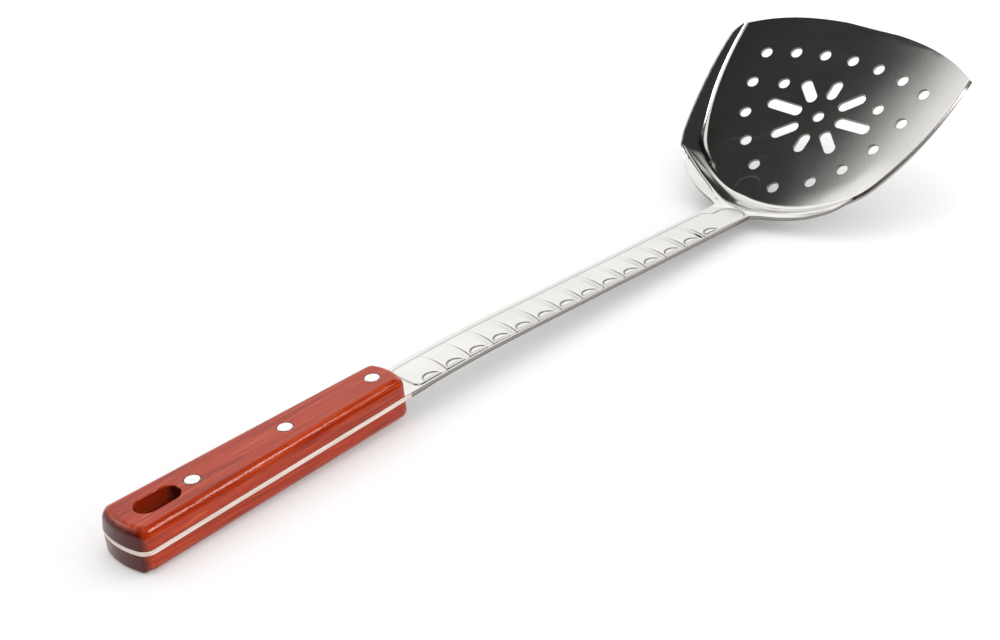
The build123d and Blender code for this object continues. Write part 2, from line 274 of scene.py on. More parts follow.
def bowl_height(u, v):
    """The pierced floor and the walls that rise from it."""
    outside = outside_base(u, v)
    steep = 1 + HEEL_STEEP * smooth(*STEEP_U, u) * smooth(*STEEP_V, v)
    wall = BASE_LEVEL + outside * steep / tan(FLARE)
    dish = v * v / DISH_ACROSS + u * u / DISH_ALONG
    dish += smooth(*SWEEP_U, u) * np.maximum(outside + HEEL_SWEEP, 0) ** 2 / HEEL_SOFT
    return smax(wall, dish, CREASE_SOFT + HEEL_CREASE_SOFT * smooth(*CREASE_U, u))


def rim_height(u):
    """The walls' upper edge, which rises to the heel and drops before the front."""
    behind = np.maximum(RIM_MIDDLE_AT - u, 0)
    curved = np.clip(u - DROP_FROM, 0, DROP_TO - DROP_FROM)
    straight = 2 * (DROP_TO - DROP_FROM) * np.maximum(u - DROP_TO, 0)
    height = RIM_MIDDLE + RIM_SLOPE * (RIM_MIDDLE_AT - u) + RIM_RISE * behind ** 2
    return height - RIM_DROP * (curved ** 2 + straight)


def flange_height(u, v):
    """The shank's plane and, beside it, the flange round the heel, which becomes the rim."""
    along = smooth(*LIP_TO_RIM, u)
    level = LIP_LEVEL + along * (rim_height(u) - LIP_LEVEL)
    level += LIP_FALL * (LIP_LINE - v) * smooth(*LEFT_LIP, v) * (1 - along)
    level += LIP_RISE * (outside_base(u, v) - LIP_REACH) * smooth(*RIGHT_LIP, v) * (1 - along)
    return smax(HEEL_DEPTH + (NECK_U - u) * tan(SLOPE), level, SHANK_SOFT)


def scoop_height(u, v):
    """The upper face: the dish and its walls, cut off by the flange that rolls outward from the shank."""
    return smin(bowl_height(u, v), flange_height(u, v) + WALL_FREE * smooth(*WALL_FREE_U, u), LIP_SOFT)


def panel_distance(x, y):
    """How far a point lies outside the raised panel, negative inside."""
    def box(x0, x1, y0, y1, r):
        dx = np.abs(x - (x0 + x1) / 2) - (x1 - x0) / 2 + r
        dy = np.abs(y - (y0 + y1) / 2) - (y1 - y0) / 2 + r
        return np.hypot(np.maximum(dx, 0), np.maximum(dy, 0)) + np.minimum(np.maximum(dx, dy), 0) - r
    d = box(PANEL_FROM, LOBE_AT, -PANEL_RIGHT, PANEL_LEFT, PANEL_CORNER)
    d = np.minimum(d, box(PANEL_FROM, NOSE_AT, -PANEL_RIGHT, NOSE_Y + NOSE_RADIUS, PANEL_CORNER))
    d = np.minimum(d, np.hypot(x - NOSE_AT, y - NOSE_Y) - NOSE_RADIUS)
    return np.minimum(d, np.hypot(x - LOBE_AT, y - PANEL_LEFT + LOBE_RADIUS) - LOBE_RADIUS)


def unbent(p):
    """X of a place on the sheet, as far along as it is when seen from above."""
    return p - (1 - cos(FALL)) * np.maximum(p - BEND_AT, 0)


def share_across(y):
    """How far a place is on the way from the panel's right to its left, 0 to 1."""
    return np.clip((y + PANEL_RIGHT + GROOVE_MARGIN) / (PANEL_LEFT + PANEL_RIGHT), 0, 1)


def groove_line(number, across):
    """Where a groove runs, at a share of the way from the panel's right to its left."""
    return FIRST_GROOVE + number * GROOVE_PITCH + GROOVE_LEAN * across - GROOVE_BOW * across * across


def half_moon(number, x, y):
    """A place's share of the way to a half-moon's end, height over its foot and depth inside its arch."""
    dx = (x - (FIRST_GROOVE + number * GROOVE_PITCH - DIMPLE_BEFORE)) / DIMPLE_HALF
    dy = (y + PANEL_RIGHT - DIMPLE_MARGIN) / DIMPLE_DEEP
    return dx, dy * DIMPLE_DEEP, (np.sqrt(np.maximum(1 - dx * dx, 0.0)) - dy) * DIMPLE_DEEP


def pattern_depth(x, y):
    """How deep grooves and half-moons are pressed below the panel's face."""
    across = share_across(y)
    fade = 1.0 - GROOVE_FADE * smooth(*FADE_ACROSS, across)
    depth = np.zeros_like(x)
    for i in range(GROOVES + 1):
        if i < GROOVES:
            past = x - groove_line(i, across)
            up = SHARP_SHARE * smooth(*GROOVE_SHARP, past) + SLOW_SHARE * smooth(*GROOVE_SLOW, past)
            depth += fade * GROOVE_DEPTH * (smooth(*GROOVE_DOWN, past) - up)
        _, height, inside = half_moon(i, x, y)
        bowl = WALL_SHARE * smooth(*DIMPLE_WALL, inside) + FLOOR_SHARE * smooth(*DIMPLE_FLOOR, inside)
        depth += DIMPLE_DEPTH * bowl * smooth(*DIMPLE_FOOT, height)
    return depth


def dirt_and_shade(p, q):
    """How much dirt and painted shade darken the pressed lines, 0 to 1: along grooves, half-moons' arches and
    the panel's border.
    """
    x = unbent(p)
    across = share_across(q)
    # The painted shade is strongest on the panel's right half and fades towards its left
    strong = 1.0 - 0.8 * smooth(0.2, 0.9, across)
    border = panel_distance(x, q)
    dark = 0.45 * smooth(-0.5, -0.15, -np.abs(border))
    for i in range(GROOVES + 1):
        if i < GROOVES:
            past = x - groove_line(i, across)
            dark = np.maximum(dark, strong * smooth(0.42, 0.05, np.abs(past + 0.14)))
        dx, height, inside = half_moon(i, x, q)
        arch = smooth(0.6, 0.2, np.abs(inside - 0.2)) * smooth(-0.3, 0.6, height) * (np.abs(dx) < 1)
        dark = np.maximum(dark, 0.9 * arch)
    return np.where(border < 0.4, dark, 0.0)


def pattern_points():
    """Points along the pattern's creases and the panel's border, in P and Q."""
    out = []
    for i in range(GROOVES + 1):
        if i < GROOVES:
            for q in np.arange(-PANEL_RIGHT + 0.1, PANEL_LEFT, 0.4):
                at = groove_line(i, share_across(q))
                out += [(at + off, q) for off in (-0.36, -0.12, 0.10, 0.45, 0.95)]
        middle = FIRST_GROOVE + i * GROOVE_PITCH - DIMPLE_BEFORE
        for off in (-0.02, 0.17, 0.38, 0.8):
            deep = (DIMPLE_DEEP - off) / (DIMPLE_HALF - off)
            out += [(middle + x, DIMPLE_MARGIN - PANEL_RIGHT + y * deep)
                    for x, y in arc(0, 0, DIMPLE_HALF - off, 0.05, pi - 0.05, 0.35)]
    start, right, left = PANEL_FROM + PANEL_CORNER, PANEL_CORNER - PANEL_RIGHT, PANEL_LEFT - PANEL_CORNER
    for off in (0.0, PANEL_SOFT / 3, 2 * PANEL_SOFT / 3, PANEL_SOFT):
        out += arc(NOSE_AT, NOSE_Y, NOSE_RADIUS - off, -pi / 2, pi * 0.75, 0.4)
        out += arc(LOBE_AT, PANEL_LEFT - LOBE_RADIUS, LOBE_RADIUS - off, -0.2, pi / 2, 0.4)
        out += [(x, PANEL_LEFT - off) for x in np.arange(start, LOBE_AT, 0.6)]
        out += [(x, off - PANEL_RIGHT) for x in np.arange(start, NOSE_AT, 0.6)]
        out += [(PANEL_FROM + off, y) for y in np.arange(right, left, 0.6)]
        for y, angle in ((left, pi / 2), (right, pi)):
            out += arc(start, y, PANEL_CORNER - off, angle, angle + pi / 2, 0.35)
    stretch = 1 - cos(FALL)
    return [(x if x < BEND_AT else (x - stretch * BEND_AT) / (1 - stretch), y) for x, y in out]


def relief(p, q):
    """The height of the panel over the sheet."""
    x = unbent(p)
    d = panel_distance(x, q)
    return PANEL_RISE * smooth(0.0, -PANEL_SOFT, d) - pattern_depth(x, q) * smooth(-0.1, -0.6, d)


def surface(p, q):
    """Points of the sheet's upper face in the tang's frame."""
    turn = np.clip((p - BEND_FROM) / BEND_RADIUS, 0, FALL)
    beyond = np.maximum(p - BEND_TO, 0)
    mid_x = np.minimum(p, BEND_FROM) + BEND_RADIUS * np.sin(turn) + beyond * cos(FALL)
    mid_z = -BEND_RADIUS * (1 - np.cos(turn)) - beyond * sin(FALL)
    raised = relief(p, q)
    over = HALF_SHEET + raised
    shank = np.stack([mid_x + over * np.sin(turn), q, mid_z + over * np.cos(turn)], -1)
    u = u_of(p)
    w = scoop_height(u, q) + raised
    scoop = np.stack([CENTRE_X + u * cos(PITCH) - w * sin(PITCH), q,
                      CENTRE_Z + u * sin(PITCH) + w * cos(PITCH)], -1)
    return np.where((p > BLADE_STARTS)[:, None], scoop, shank)


def surface_normal(p, q, step=0.04):
    along = surface(p + step, q) - surface(p - step, q)
    across = surface(p, q + step) - surface(p, q - step)
    n = np.cross(along, across)
    return n / np.linalg.norm(n, axis=1)[:, None]


# Outlines

def arc(cu, cv, radius, start, end, step):
    """Points on an arc, angles in radians, both ends included."""
    n = max(2, int(abs(end - start) * radius / step) + 1)
    a = np.linspace(start, end, n)
    return [(cu + radius * cos(t), cv + radius * sin(t)) for t in a]


def run(a, b, step):
    """Points on a straight line without its ends."""
    n = max(1, int(hypot(b[0] - a[0], b[1] - a[1]) / step))
    return [(a[0] + (b[0] - a[0]) * i / n, a[1] + (b[1] - a[1]) * i / n) for i in range(1, n)]


def end_corner(arc_x, arc_radius, corner):
    """The centre of the corner between an end's arc and the left side, and the angles of its two ends."""
    du, dv = SIDE_B[0] - SIDE_A[0], SIDE_B[1] - SIDE_A[1]
    length = hypot(du, dv)
    normal = (-dv / length, du / length)
    # On the side moved inward by the corner's radius, at the arc's radius less the corner's from its centre
    a = (SIDE_A[0] - normal[0] * corner - arc_x, SIDE_A[1] - normal[1] * corner)
    d = (du / length, dv / length)
    half_b = a[0] * d[0] + a[1] * d[1]
    c = a[0] ** 2 + a[1] ** 2 - (arc_radius - corner) ** 2
    root = (half_b * half_b - c) ** 0.5
    t = -half_b - root if arc_x < HANDLE_LENGTH / 2 else -half_b + root
    centre = (a[0] + d[0] * t + arc_x, a[1] + d[1] * t)
    return centre, atan2(centre[1], centre[0] - arc_x), atan2(normal[1], normal[0])


BUTT_ARC = (BUTT_BOW ** 2 + HALF_BUTT ** 2) / (2 * BUTT_BOW)
FRONT_ARC = (FRONT_BOW ** 2 + HALF_FRONT ** 2) / (2 * FRONT_BOW)
SIDE_A = (BUTT_BOW, HALF_BUTT)
SIDE_B = (HANDLE_LENGTH - FRONT_BOW, HALF_FRONT)


def handle_outline(step):
    """The handle's plan, anticlockwise from the butt's right side: points and outward normals."""
    points, normals = [], []

    def add(items, centre=None, direction=None):
        for x, y in items:
            n = direction or (x - centre[0], y - centre[1])
            length = hypot(*n)
            points.append((x, y))
            normals.append((n[0] / length, n[1] / length))

    front_x = HANDLE_LENGTH - FRONT_ARC
    butt_c, butt_in, side_a = end_corner(BUTT_ARC, BUTT_ARC, BUTT_CORNER)
    front_c, front_in, _ = end_corner(front_x, FRONT_ARC, FRONT_CORNER)
    up = (cos(side_a), sin(side_a))
    add(arc(front_x, 0, FRONT_ARC, -front_in, front_in, step)[1:-1], centre=(front_x, 0))
    add(arc(*front_c, FRONT_CORNER, front_in, side_a, step / 2), centre=front_c)
    a = (front_c[0] + up[0] * FRONT_CORNER, front_c[1] + up[1] * FRONT_CORNER)
    b = (butt_c[0] + up[0] * BUTT_CORNER, butt_c[1] + up[1] * BUTT_CORNER)
    add(run(a, b, 2 * step), direction=up)
    add(arc(*butt_c, BUTT_CORNER, side_a, butt_in, step / 2), centre=butt_c)
    add(arc(BUTT_ARC, 0, BUTT_ARC, butt_in, 2 * pi - butt_in, step)[1:-1], centre=(BUTT_ARC, 0))
    low = (butt_c[0], -butt_c[1])
    add(arc(*low, BUTT_CORNER, 2 * pi - butt_in, 2 * pi - side_a, step / 2), centre=low)
    add(run((b[0], -b[1]), (a[0], -a[1]), 2 * step), direction=(up[0], -up[1]))
    low = (front_c[0], -front_c[1])
    add(arc(*low, FRONT_CORNER, -side_a, -front_in, step / 2), centre=low)
    return np.array(points), np.array(normals)


def stadium(x0, y0, x1, y1, radius, step):
    """A slot between two centres, anticlockwise: points and normals that point out of it."""
    turn = atan2(y1 - y0, x1 - x0)
    ends = [(x1, y1, turn - pi / 2), (x0, y0, turn + pi / 2)]
    points, normals = [], []
    for i, (cx, cy, start) in enumerate(ends):
        bow = arc(cx, cy, radius, start, start + pi, step)
        points += bow
        normals += [((x - cx) / radius, (y - cy) / radius) for x, y in bow]
        nx, ny, _ = ends[1 - i]
        side = (cos(start + pi), sin(start + pi))
        straight = run(bow[-1], (nx + radius * side[0], ny + radius * side[1]), 2 * step)
        points += straight
        normals += [side] * len(straight)
    return np.array(points), np.array(normals)


def circle(x, y, radius, count=36):
    a = np.linspace(0, 2 * pi, count, endpoint=False)
    n = np.stack([np.cos(a), np.sin(a)], -1)
    return np.array([x, y]) + radius * n, n


# Meshes

def triangles(loops, inner):
    """Triangles between loops, through the inner points: places, faces and what points each place is from."""
    flat, faces = [], []
    for loop in loops:
        p = np.array(loop)
        q = np.roll(p, -1, 0)
        ids = list(range(len(flat), len(flat) + len(p)))
        faces.append(ids if (p[:, 0] * q[:, 1] - p[:, 1] * q[:, 0]).sum() > 0 else ids[::-1])
        flat += [Vector(x) for x in loop]
    flat += [Vector(x) for x in inner]
    places, _, found, origins, _, owners = delaunay_2d_cdt(flat, [], faces, 0, 1e-7)
    faces = [face for face, owner in zip(found, owners) if owner == [0]]
    return np.array([tuple(x) for x in places]), faces, origins


class Shell:
    """Points, shading normals and faces of one mesh, in the tang's frame."""

    def __init__(self):
        self.points, self.normals, self.faces = [], [], []
        self.edge_faces = {}    # a face's number and its material's
        self.dirt_and_shade_by_point = {}        # a point's number and how dark it is

    def add(self, points, normals):
        start = len(self.points)
        self.points += [tuple(p) for p in points]
        self.normals += [tuple(n) for n in normals]
        return list(range(start, len(self.points)))

    def bridge(self, a, b, flip=False):
        """Faces between two rings with as many points."""
        n = len(a)
        for i in range(n):
            j = (i + 1) % n
            face = (a[i], b[i], b[j], a[j])
            self.faces.append(face[::-1] if flip else face)

    def fill(self, rings, flip):
        """A flat face between an outline and its holes, each with its points' numbers and its places."""
        members = [i for ids, _ in rings for i in ids]
        _, faces, origins = triangles([places for _, places in rings], [])
        flat_ids = [members[origin[0]] for origin in origins]
        for face in faces:
            ids = tuple(flat_ids[i] for i in face)
            self.faces.append(ids[::-1] if flip else ids)

    def make(self, name, material, replaces, edges=()):
        mesh = bpy.data.meshes.new(name)
        mesh.from_pydata(self.points, [], self.faces)
        mesh.transform(TO_ROW)
        turn = np.array(TO_ROW.to_quaternion().to_matrix())
        normals = np.array(self.normals) @ turn.T
        normals /= np.linalg.norm(normals, axis=1)[:, None]
        mesh.polygons.foreach_set("use_smooth", [True] * len(mesh.polygons))
        mesh.update()
        mesh.normals_split_custom_set_from_vertices(normals.tolist())
        mesh.materials.append(material)
        if self.dirt_and_shade_by_point:
            layer = mesh.color_attributes.new("dirt_and_shade", "FLOAT_COLOR", "POINT")
            for i, dark in self.dirt_and_shade_by_point.items():
                layer.data[i].color = (dark, dark, dark, 1.0)
        for other in edges:
            mesh.materials.append(other)
        for i, number in self.edge_faces.items():
            mesh.polygons[i].material_index = number
        piece = bpy.data.objects.new(name, mesh)
        bpy.context.scene.collection.objects.link(piece)
        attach(piece, "root")
        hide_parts(replaces)


# The sheet's outline

def base_line(step=0.8):
    """Points on the base line from the heel's middle round the left side, with outward normals."""
    out = []
    heel_end = atan2(TO_HEEL[1], TO_HEEL[0])
    side_start = atan2(TO_SIDE[1], TO_SIDE[0])
    front = atan2(HALF_WIDTH - SIDE_V, FRONT_REACH + 4 - SIDE_U)
    for cu, cv, radius, start, end in ((HEEL_U, 0, HEEL_RADIUS, pi, heel_end),
                                       (CORNER_U, CORNER_V, CORNER_RADIUS, heel_end, side_start),
                                       (SIDE_U, SIDE_V, SIDE_RADIUS, side_start, front)):
        for u, v in arc(cu, cv, radius, start, end, step)[:-1]:
            out.append((u, v, (u - cu) / radius, (v - cv) / radius))
    return np.array(out)


def front_edge(v):
    """U of the bowed front edge."""
    return FRONT_REACH - EDGE_BOW * v ** 2 - EDGE_BOW_OUTER * v ** 4


def round_off(points, at, radius, step):
    """A polyline's corner number at, replaced by an arc of that radius."""
    (ax, ay), (bx, by), (cx, cy) = points[at - 1], points[at], points[at + 1]
    d1 = np.array([ax - bx, ay - by]) / hypot(ax - bx, ay - by)
    d2 = np.array([cx - bx, cy - by]) / hypot(cx - bx, cy - by)
    half = np.arccos(np.clip(d1 @ d2, -1, 1)) / 2
    centre = np.array([bx, by]) + (d1 + d2) / np.linalg.norm(d1 + d2) * radius / sin(half)
    start = np.array([bx, by]) + d1 * radius / tan(half)
    end = np.array([bx, by]) + d2 * radius / tan(half)
    a0 = atan2(*(start - centre)[::-1])
    a1 = atan2(*(end - centre)[::-1])
    a1 -= 2 * pi * round((a1 - a0) / (2 * pi))
    return points[:at] + arc(centre[0], centre[1], radius, a0, a1, step) + points[at + 1:]


def curve_through(points, step):
    """Points on a smooth curve through the given ones."""
    p = np.array(points)
    p = np.vstack([2 * p[0] - p[1], p, 2 * p[-1] - p[-2]])
    out = []
    for a, b, c, d in zip(p, p[1:], p[2:], p[3:]):
        n = max(1, int(np.linalg.norm(c - b) / step))
        for t in np.arange(n) / n:
            out.append(tuple(0.5 * (2 * b + (c - a) * t + (2 * a - 5 * b + 4 * c - d) * t * t
                                    + (3 * b - a - 3 * c + d) * t ** 3)))
    return out + [tuple(p[-2])]


def half_scoop_outline():
    """The scoop's left outline from the neck to the middle of the front edge, in U and V."""
    rim = []
    for u, v, nu, nv in base_line():
        out = 0.0
        for _ in range(6):
            out = (float(rim_height(np.float64(u + nu * out))) - BASE_LEVEL) * tan(FLARE)
        pu, pv = u + nu * out, v + nv * out
        if pv > HEEL_RADIUS / 2 and FLANGE_LINE[-1][0] + RIM_AFTER_FLANGE < pu < front_edge(pv):
            rim.append((pu, pv))
    corner = (front_edge(rim[-1][1]), rim[-1][1])
    front = [(front_edge(v), v) for v in np.linspace(corner[1], 0, 70)]
    rim, front = ([p for p in side if hypot(p[0] - corner[0], p[1] - corner[1]) > TIP_CLEAR]
                  for side in (rim, front))
    side = curve_through(list(FLANGE_LINE) + rim[:3], 0.7) + rim[3:]
    return round_off(side + [corner] + front, len(side), TIP_RADIUS, 0.3)


def dense(points, step):
    """A polyline with points added where two are further apart than a step."""
    out = []
    for a, b in zip(points, points[1:]):
        out += [tuple(a)] + run(a, b, step)
    return out + [tuple(points[-1])]


def sheet_outline():
    """The whole outline in P and Q, anticlockwise seen from above."""
    tang = [tuple(p) for p in handle_outline(0.8)[0] if p[0] < TANG_ENDS]
    scoop = [(p_of(u), v) for u, v in half_scoop_outline()]
    shoulder = (HANDLE_LENGTH - FRONT_BOW, HALF_FRONT)
    neck = (scoop[0][0] - NECK_RUN, HALF_NECK)
    far = [q for q in scoop if q[1] > HALF_NECK + NECK_CLEAR]
    left = dense(round_off([shoulder, neck, (scoop[0][0], HALF_NECK)] + far, 2, NECK_CORNER, 0.2), 0.8)
    right = [(p, -q) for p, q in left[:-1]]
    return right + left[::-1] + [p for p in tang if p[1] > 0] + [p for p in tang if p[1] < 0]


def moved_in(points, by):
    """A closed anticlockwise outline moved inward."""
    p = np.array(points)
    t = np.roll(p, -1, 0) - np.roll(p, 1, 0)
    t /= np.linalg.norm(t, axis=1)[:, None]
    return p + by * np.stack([-t[:, 1], t[:, 0]], -1)


def thin_out(points, gap):
    """The outline without points that come closer together than a gap."""
    kept = [points[0]]
    for p in points[1:]:
        if hypot(p[0] - kept[-1][0], p[1] - kept[-1][1]) > gap:
            kept.append(p)
    if hypot(kept[0][0] - kept[-1][0], kept[0][1] - kept[-1][1]) <= gap:
        kept.pop()
    return kept


def scoop_cutouts():
    """The holes and the star's slots in U and V, each with points that go clockwise in p and q."""
    r = HOLE_RADIUS + SHEET_ROUND
    places = [(share * HALF_WIDTH, 0) for share in AXIS_HOLES]
    places += [(a * HALF_WIDTH, side * b * HALF_WIDTH) for a, b in PAIRED_HOLES for side in (-1, 1)]
    loops = [circle(u, v, r)[0] for u, v in places]
    for half_turn in (0, 180):
        for angle, reach in STAR_ARMS:
            a = radians(angle + half_turn)
            near, far = STAR_INNER + HOLE_RADIUS, reach - HOLE_RADIUS
            loops.append(stadium(near * cos(a), near * sin(a), far * cos(a), far * sin(a), r, 0.42)[0])
    return [[(p_of(u), v) for u, v in loop[::-1]] for loop in loops]


def sheet_points():
    """Points inside the sheet, close together where it bends or carries relief, in P and Q."""
    out = []

    def grid(p0, p1, q0, q1, step, after=0.0):
        for i, p in enumerate(np.arange(p0, p1, step)):
            if p > after:
                out.extend((p, q) for q in np.arange(q0 + (step / 2 if i % 2 else 0), q1, step))

    nose = NOSE_AT + NOSE_RADIUS
    grid(PANEL_FROM - 1.2, nose + 1.6, -HALF_FRONT + 0.5, PANEL_LEFT + 0.6, 0.45)
    out += pattern_points()
    grid(p_of(-58.0), p_of(-38.0), -36.0, 36.0, 0.8, after=nose + 2.0)
    # Rows along the base line, from inside the crease to the rim
    line = base_line(1.1)
    for side in (-1, 1):
        for off in np.arange(-5.6, 5.0, 0.42):
            for u, v, nu, nv in line:
                pu, pv = u + nu * off, v + nv * off
                if (pv > 0.3 or side > 0) and (pu >= -38.0 or pv >= 36.0):
                    out.append((p_of(pu), side * pv))
    for i, u in enumerate(np.arange(-46.0, 46.0, 2.0)):
        for v in np.arange(-56.0 + (i % 2), 56.0, 2.0):
            if outside_base(np.float64(u), np.float64(v)) < -6.2 and not (u < -37.0 and abs(v) < 37.0):
                out.append((p_of(u), v))
    return np.array(out)


def sheet_thickness(p):
    shank = SHEET + (SHANK_SHEET - SHEET) * smooth(*THINS_AFTER_HANDLE, p - HANDLE_LENGTH)
    return shank + (SCOOP_SHEET - SHANK_SHEET) * smooth(*THINS_ROUND_NECK, p - NECK_P)


def make_sheet(material, edges):
    """The steel sheet; edges are the materials of the sheared edge and of the tang's ground edge."""
    gap = 0.12
    outline = thin_out([tuple(p) for p in moved_in(thin_out(sheet_outline(), gap), SHEET_ROUND)], gap)
    slot = stadium(SLOT_FROM + SLOT_HALF, 0, SLOT_TO - SLOT_HALF, 0, SLOT_HALF + SHEET_ROUND, 0.6)[0]
    loops = [outline, [tuple(p) for p in slot[::-1]]]
    for x in RIVETS.values():
        hole = circle(x, 0, BARREL_RADIUS + RIVET_CLEARANCE + SHEET_ROUND, 24)[0]
        loops.append([tuple(p) for p in hole[::-1]])
    loops += scoop_cutouts()

    edge = [tuple(p) for loop in loops for p in loop]
    tree = kdtree.KDTree(len(edge))
    for i, (p, q) in enumerate(edge):
        tree.insert((p, q, 0), i)
    tree.balance()
    inner = [tuple(p) for p in sheet_points() if tree.find((p[0], p[1], 0))[2] > EDGE_CLEAR]

    pq, tris, origins = triangles(loops, inner)
    used = sorted({i for t in tris for i in t})
    at = {old: new for new, old in enumerate(used)}
    pq = pq[used]
    where = {origin: at[i] for i, found in enumerate(origins) if i in at for origin in found}

    p, q = pq[:, 0], pq[:, 1]
    top, normal, raised = surface(p, q), surface_normal(p, q), relief(p, q)[:, None]
    smooth_back = surface_normal(p, q, 0.5)
    deep = sheet_thickness(p)[:, None]
    shell = Shell()
    top_ids = shell.add(top, normal)
    shell.dirt_and_shade_by_point = {i: float(dark) for i, dark in zip(top_ids, dirt_and_shade(p, q))}
    low = top - deep * np.where(raised != 0, smooth_back, normal) - raised * smooth_back
    low_ids = shell.add(low, -smooth_back)
    for a, b, c in ([at[i] for i in t] for t in tris):
        shell.faces.append((a, b, c))
        shell.faces.append((low_ids[c], low_ids[b], low_ids[a]))

    start = 0
    for loop in loops:
        ids = [where[i] for i in range(start, start + len(loop))]
        start += len(loop)
        upper, lower, n, t = top[ids], low[ids], normal[ids], deep[ids]
        out = np.cross(np.roll(upper, -1, 0) - np.roll(upper, 1, 0), n)
        out /= np.linalg.norm(out, axis=1)[:, None]
        rings = [ids]
        for a in (30, 60, 90):
            s, c = sin(radians(a)), cos(radians(a))
            rings.append(shell.add(upper + SHEET_ROUND * (s * out - (1 - c) * n), c * n + s * out))
        rings.append(shell.add(upper + SHEET_ROUND * out - SHEARED * t * n, out))
        for a in (90, 60, 30):
            s, c = sin(radians(a)), cos(radians(a))
            rings.append(shell.add(lower + SHEET_ROUND * (s * out + (1 - c) * n), s * out - c * n))
        rings.append([low_ids[i] for i in ids])
        for step, (a, b) in enumerate(zip(rings, rings[1:])):
            shell.bridge(a, b)
            # Strips 3 and 4 are the edge's flat: the tang's is ground, and elsewhere strip 3 is sheared
            if loop is outline and step in (3, 4):
                first = len(shell.faces) - len(ids)
                for i, (x, _) in enumerate(loop):
                    if x < HANDLE_LENGTH or step == 3:
                        shell.edge_faces[first + i] = 1 if x > HANDLE_LENGTH else 2
    shell.make("steel_sheet", material, "blade_shank_tang", edges)


def make_scale(name, material, side):
    """One scale: side is 1 for the upper one and -1 for the lower one."""
    outline, out = handle_outline(0.7)
    at_butt = smooth(*FACING_BUTT, -out[:, 0])
    end_edge = END_EDGE if side > 0 else END_EDGE + (LOWER_BUTT_EDGE - END_EDGE) * at_butt
    radius = end_edge + (SIDE_EDGE - end_edge) * smooth(*FACING_SIDE, np.abs(out[:, 1]))
    corner = (2 * out[:, 0] * out[:, 1]) ** 2 * (out[:, 0] < 0)
    taper = (side > 0) * (BUTT_TAPER * at_butt + BUTT_CORNER_TAPER * corner)
    taper = np.minimum(taper, BUTT_CORNER - LEAST_CORNER - radius)
    lean = np.arctan(taper / (HALF_HANDLE - HALF_SHEET))
    shell = Shell()

    def ring(line, away, inset, height, tip):
        """A line moved in, at a height, with its normals tipped up: its points' numbers and its places."""
        inset, height, tip, x, y = np.broadcast_arrays(inset, height, tip, *away.T)
        places = line - away * inset[:, None]
        normals = np.stack([x * np.cos(tip), y * np.cos(tip), side * np.sin(tip)], -1)
        return shell.add(np.column_stack([places, side * height]), normals), places

    wall = [ring(outline, out, SEAM, HALF_SHEET, tip) for tip in (-pi / 2, -pi / 4)]
    wall.append(ring(outline, out, 0, HALF_SHEET + SEAM, lean))
    for i in range(SIDE_STEPS + 1):
        a = pi / 2 * i / SIDE_STEPS
        height = HALF_HANDLE - radius * (1 - sin(a))
        inset = radius * (1 - cos(a)) + taper * (height - HALF_SHEET) / (HALF_HANDLE - HALF_SHEET)
        wall.append(ring(outline, out, inset, height, a + lean * (1 - i / SIDE_STEPS)))
    for (a, _), (b, _) in zip(wall[1:], wall[2:]):
        shell.bridge(a, b, flip=side > 0)

    # A cut's profile runs down from the face: inset, height and how far the normals are tipped up
    slot = [(SLOT_EDGE * (1 - sin(a)), HALF_HANDLE - SLOT_EDGE * (1 - cos(a)), pi / 2 - a)
            for a in np.linspace(0, pi / 2, 5)] + [(0, HALF_SHEET, 0)]
    seat, step = HALF_HANDLE - HEAD_THICKNESS, HEAD_RADIUS - BARREL_RADIUS
    bore = [(SEAT_BEVEL, HALF_HANDLE, pi / 2), (SEAT_BEVEL, HALF_HANDLE, pi / 4),
            (0, HALF_HANDLE - SEAT_BEVEL, 0), (0, seat, 0), (0, seat, pi / 2),
            (-step, seat, pi / 2), (-step, seat, 0), (-step, HALF_SHEET, 0)]
    cuts = [(stadium(SLOT_FROM + SLOT_HALF, 0, SLOT_TO - SLOT_HALF, 0, SLOT_HALF, 0.5), slot)]
    cuts += [(circle(x, 0, HEAD_RADIUS + RIVET_CLEARANCE, 32), bore) for x in RIVETS.values()]
    top, low = [wall[-1]], [wall[0]]
    for (line, away), profile in cuts:
        made = [ring(line[::-1], -away[::-1], *at) for at in profile]
        for (a, _), (b, _) in zip(made, made[1:]):
            shell.bridge(a, b, flip=side < 0)
        top.append(made[0])
        low.append(made[-1])
    shell.fill(top, flip=side < 0)
    shell.fill(low, flip=side > 0)
    shell.make(name, material, name.replace("wood_", ""))


def lathe(name, material, x, profile, node, side):
    """A closed turned piece: its profile is (radius, height) pairs from the axis round to the axis."""
    shell = Shell()
    count = 48
    a = np.linspace(0, 2 * pi, count, endpoint=False)
    spun = []
    for i, (r, h) in enumerate(profile):
        for nr, nh in corner_normals(profile, i):
            if r < 1e-6:
                spun.append(shell.add([(x, 0, side * h)], [(0, 0, side * (1 if nh >= 0 else -1))]) * count)
                break
            points = np.stack([x + r * np.cos(a), r * np.sin(a), np.full(count, side * h)], -1)
            normals = np.stack([nr * np.cos(a), nr * np.sin(a), np.full(count, side * nh)], -1)
            spun.append(shell.add(points, normals))
    for low, high in zip(spun, spun[1:]):
        for i in range(count):
            j = (i + 1) % count
            face = tuple(dict.fromkeys((low[i], low[j], high[j], high[i])))
            if len(face) > 2:
                shell.faces.append(face if side < 0 else face[::-1])
    shell.make(name, material, node)


def corner_normals(line, i):
    """The normals before and after a point of a turned profile, as one where they are alike."""
    along = np.diff(line[max(i - 1, 0):i + 2], axis=0)
    found = np.stack([-along[:, 1], along[:, 0]], -1) / np.linalg.norm(along, axis=1)[:, None]
    if len(found) == 2 and found[0] @ found[1] > 0.6:
        return [(found[0] + found[1]) / np.linalg.norm(found[0] + found[1])]
    return found


